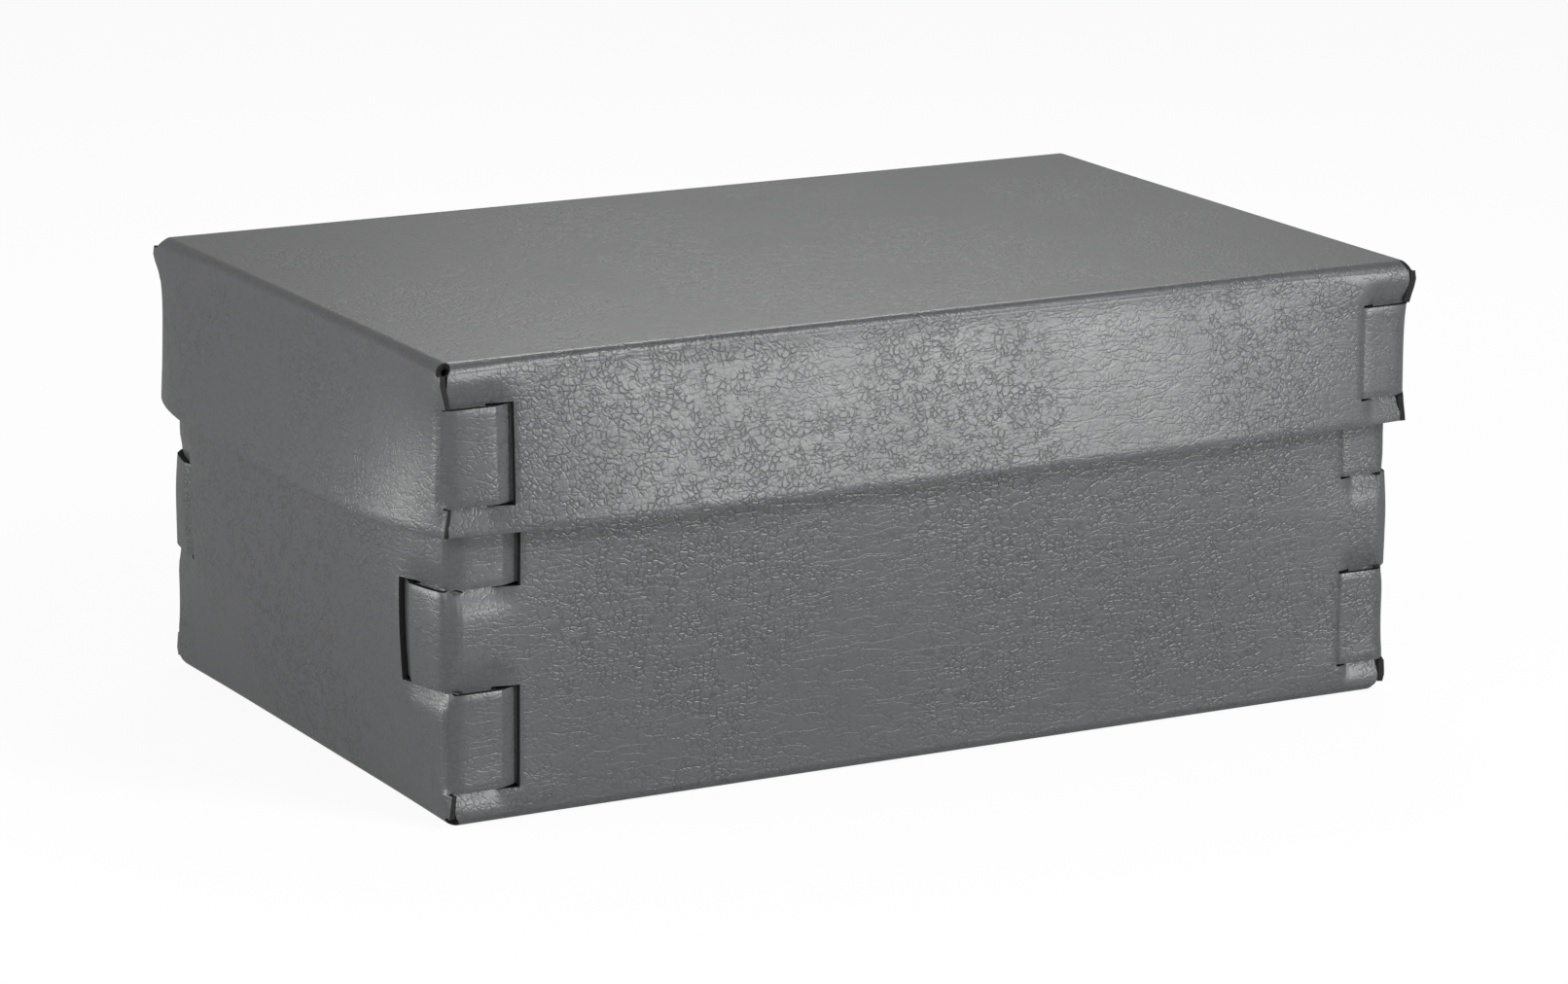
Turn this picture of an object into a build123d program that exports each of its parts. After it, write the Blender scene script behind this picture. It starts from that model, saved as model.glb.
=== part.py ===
from build123d import *
import os
from math import atan2, hypot, tan

# A lidded box for papers, folded from two blanks of bonded leather sheet.
#
# Each half is one flat blank: a panel with four walls creased up (base) or down (lid). Nothing is
# glued or sewn. At every corner the walls are locked by tabs of their own: a tab bends round the
# corner, lies over the end of the neighbouring wall, dives through a slot in it and ends flat
# against its inside. On the base the tabs alternate, end wall over side wall and back again.
# The soft walls belly out between the corners.
#
# Millimetres, Z up. The origin is on the table under the middle of the box, X runs along the long
# sides. "End" walls face -X and +X, "side" walls face -Y and +Y.

os.makedirs("parts", exist_ok=True)

# ---------------------------------------------------------------- driving dimensions

# The sheet that both halves are cut from
sheet = 2.0  # thickness
fold_radius = 3.0  # outside radius of a crease between a panel and its wall
crease_height = 5.0  # from the panel's face, over which the crease holds a wall straight
relief_reach = 0.3  # how far a relief hole reaches past the point where two creases meet

# The lid, which gives the overall size
lid_length = 359.0  # over the end walls at the crease
lid_width = 223.0  # over the side walls at the crease
lid_depth = 55.0  # from the top of the lid down to its cut rim
lid_end_bow = 12.0  # how far an end wall bellies out, most at the rim
lid_side_bow = 4.5  # how far a side wall bellies out, most at the rim

# The base, which stands inside the lid
box_height = 150.0  # from the table to the top of the lid
lid_play = 2.3  # gap all round between the base's walls and the lid's
base_end_bow = 9.0  # how far an end wall bellies out, most at half height
base_side_bow = 3.0  # how far a side wall bellies out, most at half height

# The corner locks
bend_inner = 6.0  # inside radius of a tab's soft bend round the corner
dive_inner = 1.5  # inside radius of a tab's two bends at its slot
slot_inset = 18.0  # from the corner to the near edge of a slot
slot_width = 6.0  # along the wall, wide enough for a tab to dive through
tab_tail = 15.0  # how far a tab reaches along the inside past its slot
cut_gap = 1.0  # between a tab and what is above and below it
weave_gap = 0.2  # between the layers of sheet where a tab crosses a wall
seam = 0.4  # between the butted edges of the plain strips

base_strip = 11.0  # plain strip at the foot of the base, below the first lock
base_pitch = 32.75  # from one lock of the base to the next
lid_strip = 9.5  # plain strip at the rim of the lid, below its lock
lid_tab_height = 31.0  # the lid's only tab at each corner

# ---------------------------------------------------------------- sizes that follow

bend_radius = bend_inner + sheet
dive_radius = dive_inner + sheet
relief_inset = fold_radius / 2  # from each face of the corner to the middle of its relief hole
relief_radius = hypot(relief_inset, relief_inset, relief_inset) + relief_reach
slot_far = slot_inset + slot_width
tab_end = slot_far + tab_tail

base_length = lid_length - 2 * (sheet + lid_play)
base_width = lid_width - 2 * (sheet + lid_play)
base_height = box_height - sheet
lid_rim = box_height - lid_depth
lid_crease = box_height - crease_height

# Where a tab crosses a wall, the tab stands half a sheet proud and the flap of wall under it
# sits half a sheet in, so the corner is no thicker than it has to be.
lift = (sheet + weave_gap) / 2
tuck = sheet + weave_gap

# Bezier heights of a bow along a wall: 1 - (1 - 2t)^4, full over the middle of the wall and
# falling away close to the corners.
bow_net = (0, 2, 0, 2, 0)


def bow_share(distance, span):
    """Share of its full bow that a wall of that span has at a distance from its corner."""
    return 1 - (1 - 2 * distance / span) ** 4


def base_swell(z):
    """Share of their bow that the base's walls have at a height, most half way up."""
    return 4 * (z - crease_height) * (base_height - z) / (base_height - crease_height) ** 2


def lid_swell(z):
    """Share of their bow that the lid's walls have at a height, most at the rim."""
    return (lid_crease - z) / (lid_crease - lid_rim)


def wall_skin(span, reach, bow, levels, swell_net):
    """Outer skin of the wall that faces -Y, reach from the middle, as one Bezier patch."""
    net = []
    for step, along in enumerate(bow_net):
        x = span * (step / (len(bow_net) - 1) - 0.5)
        net.append([(x, -reach - bow * along * up, z) for z, up in zip(levels, swell_net)])
    return Face.make_bezier_surface(net)


def panel(length, width):
    """A half's flat panel with the creases along its four edges, panel face down on Z = 0."""
    with BuildPart() as tray:
        with BuildSketch():
            Rectangle(length, width)
        extrude(amount=crease_height)
        fillet(tray.edges().group_by(Axis.Z)[0], fold_radius)
        with BuildSketch(Plane.XY.offset(sheet)):
            Rectangle(length - 2 * sheet, width - 2 * sheet)
        extrude(amount=crease_height, mode=Mode.SUBTRACT)
    return tray.part


def four_walls(skins):
    """Each wall's outer skin with the direction from it into the sheet."""
    side = skins["side"]
    end = skins["end"]
    return [
        (side, (0, 1, 0)),
        (side.rotate(Axis.Z, 180), (0, -1, 0)),
        (end, (1, 0, 0)),
        (end.rotate(Axis.Z, 180), (-1, 0, 0)),
    ]


def corner_plane(length, width, z, covers):
    """Plane at the front left corner: X runs along the covered wall, Y along the tab's own."""
    origin = (-length / 2, -width / 2, z)
    if covers == "side":
        return Plane(origin=origin, x_dir=(1, 0, 0), z_dir=(0, 0, 1))
    return Plane(origin=origin, x_dir=(0, 1, 0), z_dir=(0, 0, -1))


def tab_section(plane, own, cover):
    """Section of a tab at one level, where own and cover give each wall's bow at a distance."""
    root = own(bend_radius)
    outer = [
        (-root, bend_radius),
        (0, -lift),
        (slot_inset, -lift - cover(slot_inset)),
        (slot_far, tuck - cover(slot_far)),
        (tab_end, tuck - cover(tab_end)),
    ]
    dive = atan2(outer[3][1] - outer[2][1], slot_width)
    mitre = sheet * tan(dive / 2)
    inner = [
        (sheet - root, bend_radius),
        (sheet * (1 - root / (bend_radius + lift)), sheet - lift),
        (slot_inset - mitre, outer[2][1] + sheet),
        (slot_far - mitre, outer[3][1] + sheet),
        (tab_end, outer[4][1] + sheet),
    ]
    with BuildSketch(plane) as section:
        with BuildLine():
            out = FilletPolyline(*outer, radius=(bend_radius, dive_radius, dive_inner))
            back = FilletPolyline(*inner, radius=(bend_inner, dive_inner, dive_radius))
            Line(out @ 0, back @ 0)
            Line(out @ 1, back @ 1)
        make_face()
    return section.sketch


def corner_lock(length, width, low, high, covers, bows, swell, skins):
    """One lock at the front left corner: what it cuts away, the flap and the tab."""
    spans = {"side": length, "end": width}
    own_name = "end" if covers == "side" else "side"

    def section(z):
        def own(distance):
            return bows[own_name] * swell(z) * bow_share(distance, spans[own_name])

        def cover(distance):
            return bows[covers] * swell(z) * bow_share(distance, spans[covers])

        return tab_section(corner_plane(length, width, z, covers), own, cover)

    with BuildPart() as tab:
        loft([section(low), section(high)], ruled=True)

    # The wall's own bow is the furthest that anything stands out of its plane.
    outside = max(bows.values()) + 2 * lift
    foot = corner_plane(length, width, low - cut_gap, covers)
    height = high - low + 2 * cut_gap
    with BuildPart() as window:
        with BuildSketch(foot):
            with Locations((-outside, -outside)):
                Rectangle(outside + slot_far, outside + bend_radius, align=(Align.MIN, Align.MIN))
        extrude(amount=height, dir=(0, 0, 1))

    inward = (0, 1, 0) if covers == "side" else (1, 0, 0)
    sunk_skin = skins[covers].moved(Location(Vector(inward) * lift))
    with BuildPart() as flap:
        extrude(sunk_skin, amount=sheet, dir=inward)
        with BuildSketch(foot):
            with Locations((bend_radius, -outside)):
                Rectangle(slot_inset - bend_radius, 2 * outside, align=(Align.MIN, Align.MIN))
        extrude(amount=height, dir=(0, 0, 1), mode=Mode.INTERSECT)
    return window.part, flap.part, tab.part


def wall_skins(length, width, bows, levels, swell_net):
    """Outer skins of the side wall that faces -Y and the end wall that faces -X."""
    side = wall_skin(length, width / 2, bows["side"], levels, swell_net)
    end = wall_skin(width, length / 2, bows["end"], levels, swell_net)
    return {"side": side, "end": end.rotate(Axis.Z, -90)}


def butt_seam(length, width, low, high):
    """Slit at the front left corner, between an end wall and the side wall butted behind it."""
    with BuildPart(corner_plane(length, width, low, "side")) as slit:
        with Locations((sheet + weave_gap, -sheet)):
            Box(seam, 2 * sheet + seam, high - low, align=Align.MIN)
    return slit.part


def relief_hole(length, width, z, outward):
    """Round hole at the front left corner, pierced along the corner's diagonal."""
    centre = (relief_inset - length / 2, relief_inset - width / 2, z)
    with BuildPart(Plane(origin=centre, z_dir=(1, 1, -outward))) as hole:
        Cylinder(relief_radius, 4 * relief_radius)
    return hole.part


def at_four_corners(pieces):
    """Pieces made for the front left corner, with their mirror images at the other three."""
    left = pieces + [piece.mirror(Plane.XZ) for piece in pieces]
    return left + [piece.mirror(Plane.YZ) for piece in left]


# ---------------------------------------------------------------- base

base_bows = {"side": base_side_bow, "end": base_end_bow}
base_levels = (crease_height, (crease_height + base_height) / 2, base_height)
base_skins = wall_skins(base_length, base_width, base_bows, base_levels, (0, 2, 0))

base_windows = []
base_flaps = []
base_tabs = []
for number, covers in enumerate(("side", "end", "side")):
    low = base_strip + number * base_pitch + cut_gap / 2
    high = low + base_pitch - cut_gap
    window, flap, tab = corner_lock(
        base_length, base_width, low, high, covers, base_bows, base_swell, base_skins
    )
    base_windows.append(window)
    base_flaps.append(flap)
    base_tabs.append(tab)
# The seam runs from the middle of the relief hole out past the rim.
base_seam = butt_seam(base_length, base_width, sheet / 2, base_height + sheet)
base_relief = relief_hole(base_length, base_width, relief_inset, -1)
base_panel = panel(base_length, base_width)

with BuildPart() as base:
    add(base_panel)
    for skin, inward in four_walls(base_skins):
        extrude(skin, amount=sheet, dir=inward)
    add(at_four_corners(base_windows + [base_seam]), mode=Mode.SUBTRACT)
    add(at_four_corners(base_flaps + base_tabs))
    add(at_four_corners([base_relief]), mode=Mode.SUBTRACT)

base.part.label = "base"
export_step(base.part, "parts/base.step")

# ---------------------------------------------------------------- lid

lid_bows = {"side": lid_side_bow, "end": lid_end_bow}
lid_levels = (lid_crease, lid_rim)
lid_skins = wall_skins(lid_length, lid_width, lid_bows, lid_levels, (0, 1))

lid_low = lid_rim + lid_strip
lid_high = lid_low + lid_tab_height
lid_window, lid_flap, lid_tab = corner_lock(
    lid_length, lid_width, lid_low, lid_high, "side", lid_bows, lid_swell, lid_skins
)
lid_seam = butt_seam(lid_length, lid_width, lid_rim - sheet, box_height - sheet / 2)
lid_relief = relief_hole(lid_length, lid_width, box_height - relief_inset, 1)
lid_panel = panel(lid_length, lid_width).rotate(Axis.X, 180)

with BuildPart() as lid:
    with Locations((0, 0, box_height)):
        add(lid_panel)
    for skin, inward in four_walls(lid_skins):
        extrude(skin, amount=sheet, dir=inward)
    add(at_four_corners([lid_window, lid_seam]), mode=Mode.SUBTRACT)
    add(at_four_corners([lid_flap, lid_tab]))
    add(at_four_corners([lid_relief]), mode=Mode.SUBTRACT)

lid.part.label = "lid"
export_step(lid.part, "parts/lid.step")
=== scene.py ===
import math

import bmesh
import bpy
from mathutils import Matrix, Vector


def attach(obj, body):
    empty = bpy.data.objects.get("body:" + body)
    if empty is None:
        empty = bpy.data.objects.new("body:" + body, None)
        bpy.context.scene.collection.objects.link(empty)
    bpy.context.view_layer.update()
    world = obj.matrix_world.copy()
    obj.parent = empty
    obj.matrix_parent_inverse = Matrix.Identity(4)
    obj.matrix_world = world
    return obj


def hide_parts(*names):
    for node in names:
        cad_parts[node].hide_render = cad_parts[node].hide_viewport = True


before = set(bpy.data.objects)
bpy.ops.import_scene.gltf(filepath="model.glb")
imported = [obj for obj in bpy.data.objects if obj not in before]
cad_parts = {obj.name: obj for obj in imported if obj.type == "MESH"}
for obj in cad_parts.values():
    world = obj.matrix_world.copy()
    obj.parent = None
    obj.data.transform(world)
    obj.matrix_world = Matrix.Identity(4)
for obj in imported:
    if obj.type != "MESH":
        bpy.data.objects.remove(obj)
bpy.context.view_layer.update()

scene = bpy.context.scene
scene.view_settings.view_transform = "Standard"
bpy.ops.object.select_all(action="DESELECT")


# ------------------------------------------------------------------ camera
# A long lens a little above the box, looking at the front left corner.

camera_place = Vector((-0.90865, -1.65094, 0.53211))
camera_azimuth = math.radians(-28.88)
camera_height = math.radians(13.91)
camera_roll = math.radians(0.504)

bpy.ops.object.camera_add(location=camera_place)
camera = bpy.context.object
camera.rotation_mode = "YXZ"
camera.rotation_euler = (math.pi / 2 - camera_height, 0, camera_azimuth)
camera.rotation_mode = "XYZ"
camera.data.lens = 130.85
camera.data.sensor_width = 36
camera.data.clip_end = 50
camera.rotation_euler.rotate_axis("Z", camera_roll)
scene.camera = camera


# ------------------------------------------------------------------ base
# One die-cut blank of bonded leather, 2 mm thick: a panel with four walls creased up, and at each
# corner three tabs that bend round it and lock into slots of the neighbouring wall. Its face is a
# grey coat embossed with a fine grain, its back and core are pressed fibre, dyed nearly black.


def to_linear(code):
    """Colour of an sRGB hex code, as the shader sockets take it."""
    parts = [int(code[i : i + 2], 16) / 255 for i in (1, 3, 5)]
    return [p / 12.92 if p <= 0.04045 else ((p + 0.055) / 1.055) ** 2.4 for p in parts] + [1]


def add_node(tree, kind, links=(), inputs=(), **settings):
    """A node with its settings, its input values, and links given as (from socket, to input)."""
    node = tree.nodes.new("ShaderNode" + kind)
    for name, value in settings.items():
        setattr(node, name, value)
    for name, value in dict(inputs).items():
        node.inputs[name].default_value = value
    for source, name in links:
        tree.links.new(source, node.inputs[name])
    return node


def per_metre(millimetres):
    """Texture scale that gives features of that size, where the object is in metres."""
    return 1000 / millimetres


# Bonded leather with an embossed coat of polyurethane. The coat is satin: a soft sheen where a
# light mirrors in it, broken by the pebbles, and no glints.
leather = bpy.data.materials.new("embossed_bonded_leather_grey")
leather.use_nodes = True
tree = leather.node_tree
tree.nodes.clear()
place = add_node(tree, "TexCoord").outputs["Object"]

# The grain runs and bunches, so its pebbles are drawn on places stirred by up to 2 mm.
stir = add_node(tree, "TexNoise", [(place, "Vector")], {"Scale": per_metre(7), "Detail": 2})
stirred = add_node(
    tree, "VectorMath", [(stir.outputs["Color"], 0), (place, 2)], {1: (0.0035,) * 3},
    operation="MULTIPLY_ADD",
).outputs[0]

# Pebbles of about 2 mm, whose edges fall away over 0.4 mm into the grooves between them. They are
# drawn a little coarser than the 1.3 to 1.9 mm of the real grain, so that they show. Some grooves
# are pressed nearly flat, which joins pebbles into longer, wrinkled ones.
pebbles = add_node(
    tree, "TexVoronoi", [(stirred, "Vector")], {"Scale": per_metre(2.1)}, feature="DISTANCE_TO_EDGE"
).outputs["Distance"]
groove = add_node(
    tree, "MapRange", [(pebbles, "Value")], {"From Max": 0.2, "To Min": 1, "To Max": 0},
    interpolation_type="SMOOTHSTEP",
).outputs[0]
pressed = add_node(
    tree, "TexNoise", [(stirred, "Vector")], {"Scale": per_metre(4), "Detail": 2}
).outputs[0]
groove_depth = add_node(
    tree, "MapRange", [(pressed, "Value")],
    {"From Min": 0.35, "From Max": 0.6, "To Min": 0.25, "To Max": 1},
    interpolation_type="SMOOTHSTEP",
).outputs[0]
grooves = add_node(
    tree, "Math", [(groove, 0), (groove_depth, 1)], operation="MULTIPLY"
).outputs[0]

# The grain is deepest where the sheet has been worked, and nearly flat in between.
patches = add_node(
    tree, "TexNoise", [(place, "Vector")], {"Scale": per_metre(70), "Detail": 2}
).outputs[0]
worked = add_node(
    tree, "MapRange", [(patches, "Value")],
    {"From Min": 0.4, "From Max": 0.6, "To Min": 0.45, "To Max": 1},
    interpolation_type="SMOOTHSTEP",
).outputs[0]
grain = add_node(tree, "Math", [(grooves, 0), (worked, 1)], operation="MULTIPLY").outputs[0]

# Long faint creases run level across the walls, where the sheet was bent and laid flat again.
level = add_node(tree, "Mapping", [(stirred, "Vector")], {"Scale": (1, 1, 6)}).outputs[0]
creases = add_node(
    tree, "TexNoise", [(level, "Vector")], {"Scale": per_metre(22), "Detail": 1}
).outputs[0]
off_line = add_node(
    tree, "Math", [(creases, 0)], {1: 0.5}, operation="SUBTRACT"
).outputs[0]
from_line = add_node(tree, "Math", [(off_line, 0)], operation="ABSOLUTE").outputs[0]
crease = add_node(
    tree, "MapRange", [(from_line, "Value")], {"From Max": 0.04, "To Min": 0.35, "To Max": 0},
    interpolation_type="SMOOTHSTEP",
).outputs[0]
sunk_lines = add_node(tree, "Math", [(grain, 0), (crease, 1)], operation="ADD").outputs[0]
bump = add_node(
    tree, "Bump", [(sunk_lines, "Height")], {"Distance": 0.000072, "Strength": 1}, invert=True
)

# The coat is painted a shade darker in the grooves: painted shade, for the light that falls less
# into them.
coat_with_groove_shade = add_node(
    tree, "Mix", [(grain, "Factor")], {"A": to_linear("#4b4c4d"), "B": to_linear("#3e3f40")},
    data_type="RGBA",
)
mottle = add_node(
    tree, "TexNoise", [(place, "Vector")], {"Scale": per_metre(30), "Detail": 3}
).outputs[0]
sheen = add_node(
    tree, "MapRange", [(mottle, "Value")],
    {"From Min": 0.3, "From Max": 0.7, "To Min": 0.33, "To Max": 0.36},
).outputs[0]
shader = add_node(
    tree, "BsdfPrincipled",
    [(coat_with_groove_shade.outputs["Result"], "Base Color"), (bump.outputs[0], "Normal"), (sheen, "Roughness")],
)
add_node(tree, "OutputMaterial", [(shader.outputs[0], "Surface")])


def pressed_fibre(name, dark, light):
    """Felted leather fibre, rough and nearly black, on the back and in the cut edges."""
    material = bpy.data.materials.new(name)
    material.use_nodes = True
    tree = material.node_tree
    tree.nodes.clear()
    place = add_node(tree, "TexCoord").outputs["Object"]
    fibres = add_node(
        tree, "TexNoise", [(place, "Vector")], {"Scale": per_metre(0.6), "Detail": 3}
    ).outputs[0]
    bump = add_node(tree, "Bump", [(fibres, "Height")], {"Distance": 0.0002})
    tone = add_node(
        tree, "Mix", [(fibres, "Factor")], {"A": to_linear(dark), "B": to_linear(light)},
        data_type="RGBA",
    )
    shader = add_node(
        tree, "BsdfPrincipled",
        [(tone.outputs["Result"], "Base Color"), (bump.outputs[0], "Normal")],
        {"Roughness": 0.9, "Specular IOR Level": 0.2},
    )
    add_node(tree, "OutputMaterial", [(shader.outputs[0], "Surface")])
    return material


backing = pressed_fibre("pressed_fibre_backing_charcoal", "#2b2b2c", "#3a3a3b")
core = pressed_fibre("cut_edge_fibre_black", "#161616", "#2e2e2e")

# Sizes of the sheet and of its corner locks, in millimetres. Radii are to the middle of the sheet.
# Distances along a wall count from the corner, where the outer planes of the two walls meet.
sheet = 2.0
fold_radius = 2.4  # of the crease between the panel and a wall
fold_turns = 6
bend_radius = 4.8  # of a tab round the corner, where its bend tightens and eases again
bend_turns = [math.radians(a) for a in (7.5, 15, 22.5, 22.5, 15, 7.5)]
dive_radius = 2.5  # of a tab's two bends at its slot
dive_turns = 3
proud = 0.4  # how far a tab stands out of the wall that it crosses
sunk = 1.8  # how far that wall is pressed in under it
slot = (18.0, 24.5)  # its near and far edge
slot_reach = 0.9  # how far a slot is cut past the tab in it
slot_notch = 2.0  # and back towards the corner, above and below the tab
slide = 5.2  # how far the right ends of the long walls have slid along their tabs
tail = 39.0  # where a tab ends, inside
tuck = sheet + 0.2  # from a wall down to the tail behind it
root = bend_radius + sheet / 2 - proud  # where a tab leaves its own wall
relief_radius = 2.2  # of the hole where two creases meet
flap_end = 5.6  # where a wall starts, under a tab that crosses it
slit_end = 1.6  # where it starts in the narrow slit beside its own tab
side_end = 2.6  # where a side wall starts elsewhere, just behind the end wall
slack = 0.01  # for a point that lies on a line


def in_band(depth, band):
    return band[0] < depth < band[1]


def choose_faces(wanted):
    """Select the faces whose middle is wanted, and no others."""
    blank = bmesh.from_edit_mesh(bpy.context.object.data)
    for face in blank.faces:
        face.select_set(wanted(face.calc_center_median()))
    bmesh.update_edit_mesh(bpy.context.object.data)


def score(places, axis, wanted=lambda p: True):
    """Straight lines across the blank, or across the part of it that is wanted."""
    for place in places:
        choose_faces(wanted)
        point = [0, 0, 0]
        normal = [0, 0, 0]
        point[axis] = place
        normal[axis] = 1
        bpy.ops.mesh.bisect(plane_co=point, plane_no=normal)


def spaced(marks, step):
    """The marks, with even lines between them that are at most a step apart."""
    found = []
    for a, b in zip(marks, marks[1:]):
        count = math.ceil((b - a) / step - slack)
        found += [a + (b - a) * i / count for i in range(count)]
    return found + [marks[-1]]


def arc_lines(radius, turns, angle):
    """Distances of the fold lines from where an arc starts, and the length that it takes."""
    half = radius * math.tan(angle / turns / 2)
    return [half * (2 * k + 1) for k in range(turns)], 2 * turns * half


def tab_lines():
    """Fold lines of a tab as (distance past the start of its bend, turn), and its length."""
    drop = proud + tuck
    dive_run = slot[1] - slot[0] - 0.5
    angle = math.atan2(drop, dive_run)
    turned = [sum(bend_turns[: k + 1]) for k in range(len(bend_turns) - 1)]
    spacing = bend_radius / sum(math.cos(a) for a in turned)
    corner_run = spacing * len(turned)
    kink, kink_run = arc_lines(dive_radius, dive_turns, angle)
    short = dive_radius * math.tan(angle / 2)
    first = corner_run + slot[0] - short - bend_radius - sheet / 2
    second = first + kink_run + math.hypot(drop, dive_run) - 2 * short
    lines = [(spacing * k, turn) for k, turn in enumerate(bend_turns)]
    lines += [(first + d, angle / dive_turns) for d in kink]
    lines += [(second + d, -angle / dive_turns) for d in kink]
    return lines, second + kink_run + tail - slot[1] - short


def smooth_step(value):
    value = min(max(value, 0), 1)
    return value * value * (3 - 2 * value)


def press(bands, depth, ramp=9):
    """Share by which tabs over those bands press a wall in, fading over a ramp past each band."""
    share = 0
    for low, high in bands:
        out = max(low - depth, depth - high, 0)
        share = max(share, 1 - smooth_step(out / ramp))
    return share


def sink_walls(half_l, half_w, locks, places, ends, sides, end_tabs, side_tabs):
    """The walls dip where tabs cross them, and come back out past the slots.

    A tab starts at the depth of its own wall there. Beside it the wall's end curls in a little."""
    end_cover = [(a, b) for a, b, o in locks if o == "side"]
    side_cover = [(a, b) for a, b, o in locks if o == "end"]
    outer = bend_radius + sheet / 2

    def along(c):
        return 1 - smooth_step((c - (slot[0] - slot_notch)) / 9)

    def curl(c):
        """Six tenths of the way in that a tab's bend goes there, and straight on past the slit."""
        if c > root:
            return 0
        full = 0.6 * (outer - math.sqrt(outer**2 - (root - max(c, 0)) ** 2))
        return full if c > slit_end else curl(slit_end + 0.001) + 0.3 * (slit_end - c)

    mesh = bmesh.from_edit_mesh(bpy.context.object.data)
    flags = zip(mesh.verts, places, ends, sides, end_tabs, side_tabs)
    for v, place, on_e, on_s, tab_e, tab_s in flags:
        depth = abs(v.co.z) + sheet / 2
        cx = v.co.x + half_l
        cy = v.co.y + half_w
        if tab_e:
            bent = smooth_step((root - half_w - place.y) / 6)
            v.co.x += sunk * press(end_cover, depth) * (1 - bent)
        elif tab_s:
            bent = smooth_step((root - half_l - place.x) / 6)
            v.co.y += sunk * press(side_cover, depth) * (1 - bent)
        elif on_e:
            v.co.x += sunk * press(end_cover, depth) * along(cy)
            v.co.x += curl(cy) * press(side_cover, depth, 11)
        elif on_s:
            v.co.y += sunk * press(side_cover, depth) * along(cx)
            v.co.y += curl(cx) * press(end_cover, depth, 11)
    bmesh.update_edit_mesh(bpy.context.object.data)


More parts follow.
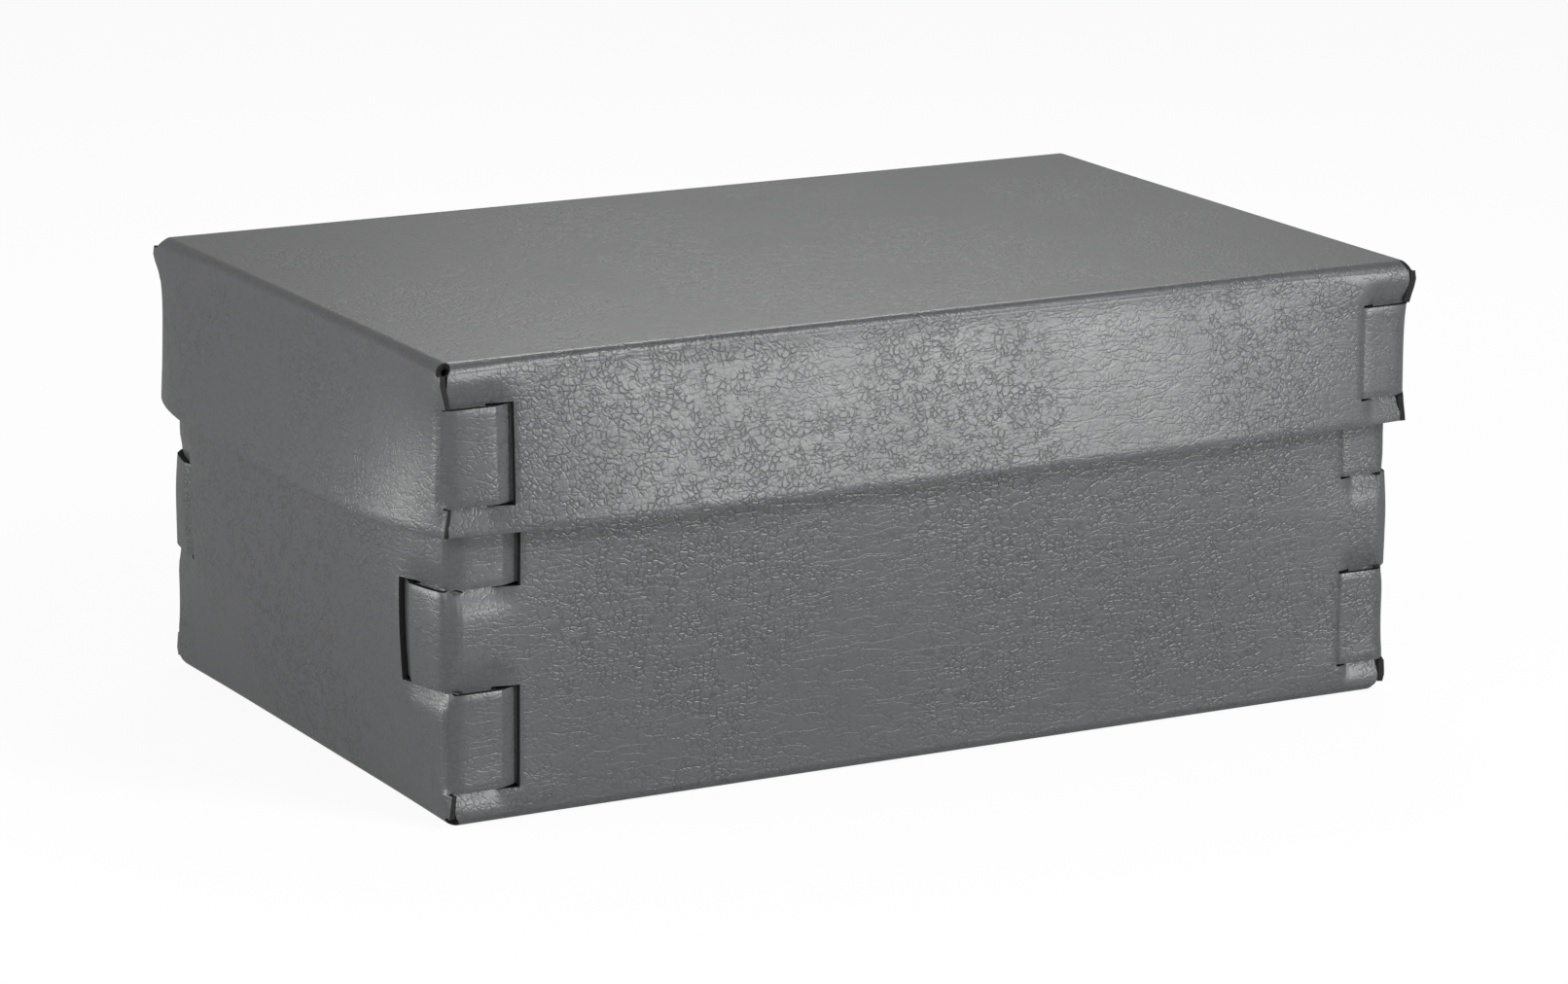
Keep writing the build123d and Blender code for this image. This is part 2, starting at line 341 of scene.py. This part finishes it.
def fold_quarter(name, length, width, depth, locks, gap, up):
    """The front left quarter of a half: its blank cut, creased, and its tabs bent and locked.

    The panel's middle plane lies at height 0, and up is 1 where the walls fold up from it and -1
    where they fold down. locks holds (low, high, wall whose tab it is), as depths from the face
    of the panel, and gap is the width of the slits beside the tabs."""
    half_l = length / 2
    half_w = width / 2
    crease, crease_run = arc_lines(fold_radius, fold_turns, math.pi / 2)
    radius_out = fold_radius + sheet / 2
    x_start = radius_out - half_l
    y_start = radius_out - half_w
    lines, tab_run = tab_lines()

    def flat(depth_from_face):
        """Distance past the start of the crease at which a wall has that depth."""
        return depth_from_face - radius_out + crease_run

    end_bands = [(flat(a), flat(b)) for a, b, owner in locks if owner == "end"]
    side_bands = [(flat(a), flat(b)) for a, b, owner in locks if owner == "side"]

    def past(p):
        return x_start - p.x, y_start - p.y

    def on_end_tab(p):
        dx, dy = past(p)
        inside = -slack < root - half_w - p.y < tab_run + slack
        return inside and any(a - slack < dx < b + slack for a, b in end_bands)

    def on_side_tab(p):
        dx, dy = past(p)
        inside = -slack < root - half_l - p.x < tab_run + slack
        return inside and any(a - slack < dy < b + slack for a, b in side_bands)

    def on_end(p):
        dx, dy = past(p)
        return dx > 0 and (on_end_tab(p) or (dx > dy and not on_side_tab(p)))

    def on_side(p):
        dx, dy = past(p)
        return dy > 0 and (on_side_tab(p) or (dy >= dx and not on_end_tab(p)))

    reach_x = half_l + flat(depth) - radius_out
    reach_y = half_w + flat(depth) - radius_out
    bpy.ops.mesh.primitive_plane_add(size=1)
    blank = bpy.context.object
    blank.name = name
    bpy.ops.object.mode_set(mode="EDIT")
    bpy.ops.mesh.select_mode(type="FACE")
    bpy.ops.mesh.select_all(action="SELECT")
    bpy.ops.transform.resize(value=(reach_x, reach_y, 1), center_override=(0, 0, 0))
    bpy.ops.transform.translate(value=(-reach_x / 2, -reach_y / 2, 0))

    # The outline is marked by lines over the whole quarter blank, and what falls between them
    # outside it is cut away.
    margins = (0, gap, slot_reach)
    edges = [flat(a - m) for a, b, o in locks for m in margins]
    edges += [flat(b + m) for a, b, o in locks for m in margins]
    cuts = sorted({round(edge, 6) for edge in edges})
    from_corner = [0, slit_end, side_end, root, flap_end, slot[0] - slot_notch, *slot]
    tab_end = root - tab_run
    score([c - half_l for c in from_corner + [tab_end]] + [x_start - c for c in cuts], 0)
    score([c - half_w for c in from_corner + [tab_end]] + [y_start - c for c in cuts], 1)

    def crossed(row, owner, margin):
        """Whether a row of a wall is crossed by another wall's tab."""
        return any(flat(a) - margin < row < flat(b) + margin for a, b, o in locks if o != owner)

    def beside(row, owner):
        """Whether a row lies in the narrow gap next to one of the wall's own tabs."""
        return any(flat(a) - gap < row < flat(b) + gap for a, b, o in locks if o == owner)

    def wall_waste(row, c, owner, bands, corner_end):
        if any(in_band(row, band) for band in bands):
            return c < tab_end
        if crossed(row, owner, 0):
            return c < flap_end or slot[0] < c < slot[1]
        if crossed(row, owner, slot_reach) and slot[0] - slot_notch < c < slot[1]:
            return True
        return c < (slit_end if beside(row, owner) else corner_end)

    def waste(p):
        dx, dy = past(p)
        cx = p.x + half_l
        cy = p.y + half_w
        if dx > 0 and tab_end < cy < root and any(in_band(dx, b) for b in end_bands):
            return False
        if dy > 0 and tab_end < cx < root and any(in_band(dy, b) for b in side_bands):
            return False
        if dx > max(dy, 0):
            return wall_waste(dx, cy, "end", end_bands, 0)
        return dy > 0 and wall_waste(dy, cx, "side", side_bands, side_end)

    choose_faces(waste)
    bpy.ops.mesh.delete(type="FACE")

    # Fold lines and finer lines, so that the soft shape has enough faces to bend.
    def panel_or_side(p):
        return p.x > -half_l and not on_end(p)

    def panel_or_end(p):
        return p.y > -half_w and not on_side(p)

    calm = 42  # where the walls are out of reach of the lock, and coarser lines will do
    round_hole = [3.45, 4.0, 5.0]
    near_lines = spaced(from_corner + [calm], 2.8) + round_hole
    x_lines = near_lines + spaced([calm, 70, half_l], 9)
    y_lines = near_lines + spaced([calm, 70, half_w], 9)
    rows = spaced([crease_run] + cuts + [flat(depth)], 2.9)
    score([c - half_l for c in x_lines if 0 < c < half_l], 0, panel_or_side)
    score([c - half_w for c in y_lines if 0 < c < half_w], 1, panel_or_end)
    score([x_start - c for c in crease], 0, lambda p: not on_side_tab(p))
    score([y_start - c for c in crease], 1, lambda p: not on_end_tab(p))
    score([x_start - c for c in rows], 0, on_end)
    score([y_start - c for c in rows], 1, on_side)
    last_bend = lines[len(bend_turns) - 1][0]
    first_dive = lines[len(bend_turns)][0]
    tab_places = [d for d, turn in lines]
    tab_places += spaced([last_bend, first_dive], 3)[1:-1]
    tab_places += spaced([lines[-1][0], tab_run], 4)[1:-1]
    score([root - half_w - d for d in tab_places], 1, on_end_tab)
    score([root - half_l - d for d in tab_places], 0, on_side_tab)

    # Round relief hole where the creases of two walls meet.
    relief = Vector((x_start - crease_run / 2, y_start - crease_run / 2, 0))
    choose_faces(lambda p: (p - relief).length < relief_radius)
    bpy.ops.mesh.delete(type="FACE")
    bpy.ops.mesh.select_mode(type="VERT")
    mesh = bmesh.from_edit_mesh(blank.data)
    for v in mesh.verts:
        v.co.z = 0
        out = v.co - relief
        if v.is_boundary and out.length < relief_radius + 0.4:
            v.co = relief + out.normalized() * relief_radius
    if up > 0:
        bpy.ops.mesh.select_all(action="SELECT")
        bpy.ops.mesh.flip_normals()
    mesh = bmesh.from_edit_mesh(blank.data)
    places = [v.co.copy() for v in mesh.verts]
    ends = [on_end(p) for p in places]
    sides = [on_side(p) for p in places]
    end_tabs = [on_end_tab(p) for p in places]
    side_tabs = [on_side_tab(p) for p in places]
    bmesh.update_edit_mesh(blank.data)

    def fold(line, axis, about, turn, part):
        """Turn what lies past a fold line about it."""
        mesh = bmesh.from_edit_mesh(blank.data)
        hinge = None
        for v, place, inside in zip(mesh.verts, places, part):
            v.select_set(inside and place[axis] < line - 0.001)
            if inside and abs(place[axis] - line) < 0.001:
                hinge = v.co.copy()
        bmesh.update_edit_mesh(blank.data)
        bpy.ops.transform.rotate(
            value=turn, orient_axis=about, orient_type="GLOBAL", center_override=hinge
        )

    step = math.pi / 2 / fold_turns * up
    for c in crease:
        fold(x_start - c, 0, "Y", -step, ends)
        fold(y_start - c, 1, "X", step, sides)
    for low, high, owner in locks:
        row_axis = 0 if owner == "end" else 1
        tab_flags = end_tabs if owner == "end" else side_tabs
        part = [
            flag and flat(low) - slack < past(p)[row_axis] < flat(high) + slack
            for flag, p in zip(tab_flags, places)
        ]
        for d, turn in lines:
            if owner == "end":
                fold(root - half_w - d, 1, "Z", -turn, part)
            else:
                fold(root - half_l - d, 0, "Z", turn, part)

    sink_walls(half_l, half_w, locks, places, ends, sides, end_tabs, side_tabs)
    bpy.ops.object.mode_set(mode="OBJECT")
    tabs = blank.vertex_groups.new(name="tabs")
    tabs.add([i for i, flags in enumerate(zip(end_tabs, side_tabs)) if any(flags)], 1, "REPLACE")
    return blank


def slid(p, length, width):
    """How far a point of a long wall has slid towards its right-hand corner.

    The slot's far edge slides most, on to the slope of the tab, and the slot looks closed there."""
    if abs(p.y) < width / 2 - 2 * sheet:
        return 0
    c = length / 2 - p.x
    start = 12
    rise = smooth_step((c - start) / (slot[1] - start))
    return slide * rise * (1 - smooth_step((c - slot[1]) / 45))


def finish_half(blank, length, width, level, soften):
    """Four corners from one, the soft shape of the whole, the thickness and the cut edges."""
    mirror = blank.modifiers.new("four corners", "MIRROR")
    mirror.use_axis = (True, True, False)
    mirror.merge_threshold = 0.01
    bpy.ops.object.modifier_apply(modifier=mirror.name)
    for v in blank.data.vertices:
        if not v.groups:
            v.co.x += slid(v.co, length, width)
        v.co = soften(v.co + Vector((0, 0, level)))
    bpy.ops.object.mode_set(mode="EDIT")
    bpy.ops.mesh.select_all(action="SELECT")
    bpy.ops.transform.resize(value=(0.001, 0.001, 0.001), center_override=(0, 0, 0))
    bpy.ops.object.mode_set(mode="OBJECT")
    bpy.ops.object.transform_apply()
    for finish in (leather, backing, core):
        blank.data.materials.append(finish)
    thick = blank.modifiers.new("sheet", "SOLIDIFY")
    thick.thickness = sheet / 1000
    thick.offset = 0
    thick.use_even_offset = False
    thick.material_offset = 1
    thick.material_offset_rim = 2
    bpy.ops.object.modifier_apply(modifier=thick.name)
    worn = blank.modifiers.new("worn edge", "BEVEL")
    worn.width = 0.00025
    worn.segments = 2
    worn.limit_method = "ANGLE"
    worn.angle_limit = math.radians(60)
    bpy.ops.object.modifier_apply(modifier=worn.name)
    bpy.ops.object.shade_smooth_by_angle(angle=math.radians(40))


def ear(depth):
    """Bulge of a corner just past the crease, where the fold is stiff. It is 1 at 6 mm."""
    return (depth / 6) ** 1.5 * math.exp(1.5 * (1 - depth / 6)) if depth > 0 else 0


def bow(distance, span):
    """Share of its full bow that a wall has at a distance from its corner."""
    t = min(max(distance / span, 0), 1)
    return 1 - (1 - 2 * t) ** 4


def push_out(p, length, width, end_bow, side_bow, corner_bulge):
    """A point moved outwards by the bows of the walls and by the bulge at the corners."""
    cx = length / 2 - abs(p.x)
    cy = width / 2 - abs(p.y)
    reach = 30
    bulge = corner_bulge * math.exp(-((cx / reach) ** 2) - (cy / reach) ** 2)
    out_x = end_bow * bow(cy, width) + bulge
    out_y = side_bow * bow(cx, length) + bulge
    return Vector((p.x + out_x * p.x / length * 2, p.y + out_y * p.y / width * 2, p.z))


base_length = 350.4
base_width = 214.4
base_height = 148.0
base_end_bow = 9  # how far an end wall bellies out, most half way up
crease_height = 5  # over which a crease keeps a wall straight
base_strip = 11.0  # plain strip at the foot, below the first tab
base_pitch = 32.75  # from one tab to the next, with 1 mm between them
base_locks = [
    (base_strip + k * base_pitch + 0.5, base_strip + (k + 1) * base_pitch - 0.5, owner)
    for k, owner in enumerate(["end", "side", "end"])
]


def soften_base(p):
    """The end walls belly out most half way up, the side walls 1.7 mm at two thirds of the height.

    The corners bulge a little over the lower 60 mm, and more just above the crease."""
    swell = 4 * max(p.z - crease_height, 0) * (base_height - p.z)
    swell /= (base_height - crease_height) ** 2
    high = p.z / base_height
    side_bow = 7.8 * max(high - 0.03, 0) ** 1.6 * (1.02 - high) ** 0.8
    bulge = 1.2 * smooth_step(p.z / 15) * (1 - smooth_step((p.z - 60) / 30)) + 1.4 * ear(p.z)
    return push_out(p, base_length, base_width, base_end_bow * swell, side_bow, bulge)


base = fold_quarter(
    "base_leather_blank", base_length, base_width, base_height, base_locks, gap=0.5, up=1
)
finish_half(base, base_length, base_width, sheet / 2, soften_base)
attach(base, "base")
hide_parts("base")


# ------------------------------------------------------------------ lid
# The second blank, of the same sheet, creased down from its top. Each end wall has one tab at
# either end, which bends round the corner and locks into a slot of the side wall. Nothing joins
# the lid to the base: it drops over it.

play = 2.3  # all round between the base's walls and the lid's
lid_length = base_length + 2 * (sheet + play)
lid_width = base_width + 2 * (sheet + play)
lid_depth = 55.0
lid_top = base_height + sheet
lid_end_bow = 12  # how far an end wall bellies out at the rim
lid_side_bow = 4.8  # and the back wall
lid_strip = 9.5  # plain strip at the rim, below the tab
lid_tab_height = 31.0
lid_locks = [(lid_depth - lid_strip - lid_tab_height, lid_depth - lid_strip, "end")]


def soften_lid(p):
    """The lid's walls belly out most at the rim, and its corners bulge just below the crease."""
    depth = lid_top - p.z
    swell = max(depth - crease_height, 0) / (lid_depth - crease_height)
    side_bow = lid_side_bow
    if p.y < 0:
        # The front wall bellies out a little more near its left end.
        from_left = p.x + lid_length / 2
        side_bow = 4.6 + 1.6 * math.exp(-(((from_left - 45) / 60) ** 2))
    bulge = 1.6 * ear(depth)
    return push_out(p, lid_length, lid_width, lid_end_bow * swell, side_bow * swell, bulge)


lid = fold_quarter(
    "lid_leather_blank", lid_length, lid_width, lid_depth, lid_locks, gap=0.6, up=-1
)
finish_half(lid, lid_length, lid_width, lid_top - sheet / 2, soften_lid)
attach(lid, "lid")
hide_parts("lid")


# ------------------------------------------------------------------ floor and light
# A white table under soft studio light: a low box of light in front that the long walls mirror,
# one high in front, one high behind for the top, and two weak ones for the left end.

bpy.ops.object.select_all(action="DESELECT")
bpy.ops.mesh.primitive_plane_add(size=12, location=(0, 0, 0))
floor = bpy.context.object
floor.name = "floor"
floor_material = bpy.data.materials.new("white_table")
floor_material.use_nodes = True
tree = floor_material.node_tree
tree.nodes.clear()
lit = add_node(tree, "BsdfDiffuse", (), {"Color": to_linear("#f6f6f6")})

# Where it is seen, the table is mostly plain white at full strength, and what is left of the lit
# surface keeps a faint shadow. In gloss the white is dimmed to 0.3: a real table's light falls
# away with distance, and one that is full white to its far edge glares in the low walls.
seen = add_node(tree, "LightPath")
clear = add_node(
    tree, "Math", [(seen.outputs["Is Camera Ray"], 0), (seen.outputs["Is Transmission Ray"], 1)],
    operation="MAXIMUM",
)
backdrop = add_node(
    tree, "Math", [(clear.outputs[0], 0), (seen.outputs["Is Glossy Ray"], 1)], operation="MAXIMUM"
)
share = add_node(tree, "Math", [(backdrop.outputs[0], 0)], {1: 0.92}, operation="MULTIPLY")
strength = add_node(
    tree, "Math", [(clear.outputs[0], 0)], {1: 0.7, 2: 0.3}, operation="MULTIPLY_ADD"
)
white = add_node(tree, "Emission", [(strength.outputs[0], "Strength")], {"Color": (1, 1, 1, 1)})
mix = add_node(
    tree, "MixShader", [(share.outputs[0], 0), (lit.outputs[0], 1), (white.outputs[0], 2)]
)
add_node(tree, "OutputMaterial", [(mix.outputs[0], "Surface")])
floor.data.materials.append(floor_material)

world = bpy.data.worlds.new("studio")
scene.world = world
world.use_nodes = True
background = world.node_tree.nodes["Background"]
background.inputs["Color"].default_value = (1, 1, 1, 1)
background.inputs["Strength"].default_value = 0.38


def soft_light(name, place, width, height, power):
    """Box of soft light that faces the middle of the object."""
    bpy.ops.object.light_add(type="AREA", location=place)
    light = bpy.context.object
    light.name = name
    light.visible_camera = False
    light.data.shape = "RECTANGLE"
    light.data.size = width
    light.data.size_y = height
    light.data.energy = power
    towards = Vector((0, 0, 0.1)) - Vector(place)
    light.rotation_euler = towards.to_track_quat("-Z", "Y").to_euler()


# Places and sizes in metres, power in watts.
soft_light("front_low", (0.78, -1.55, 0.17), 0.52, 0.2, 13)
soft_light("front_high", (0.4, -0.95, 0.9), 0.4, 0.4, 10)
soft_light("left_low", (-0.97, 0.27, 0.14), 0.55, 0.2, 4.6)
soft_light("left_front", (-0.62, -0.42, 0.3), 0.3, 0.3, 1.3)
soft_light("back_high", (0.45, 0.75, 0.85), 0.5, 0.4, 3.3)
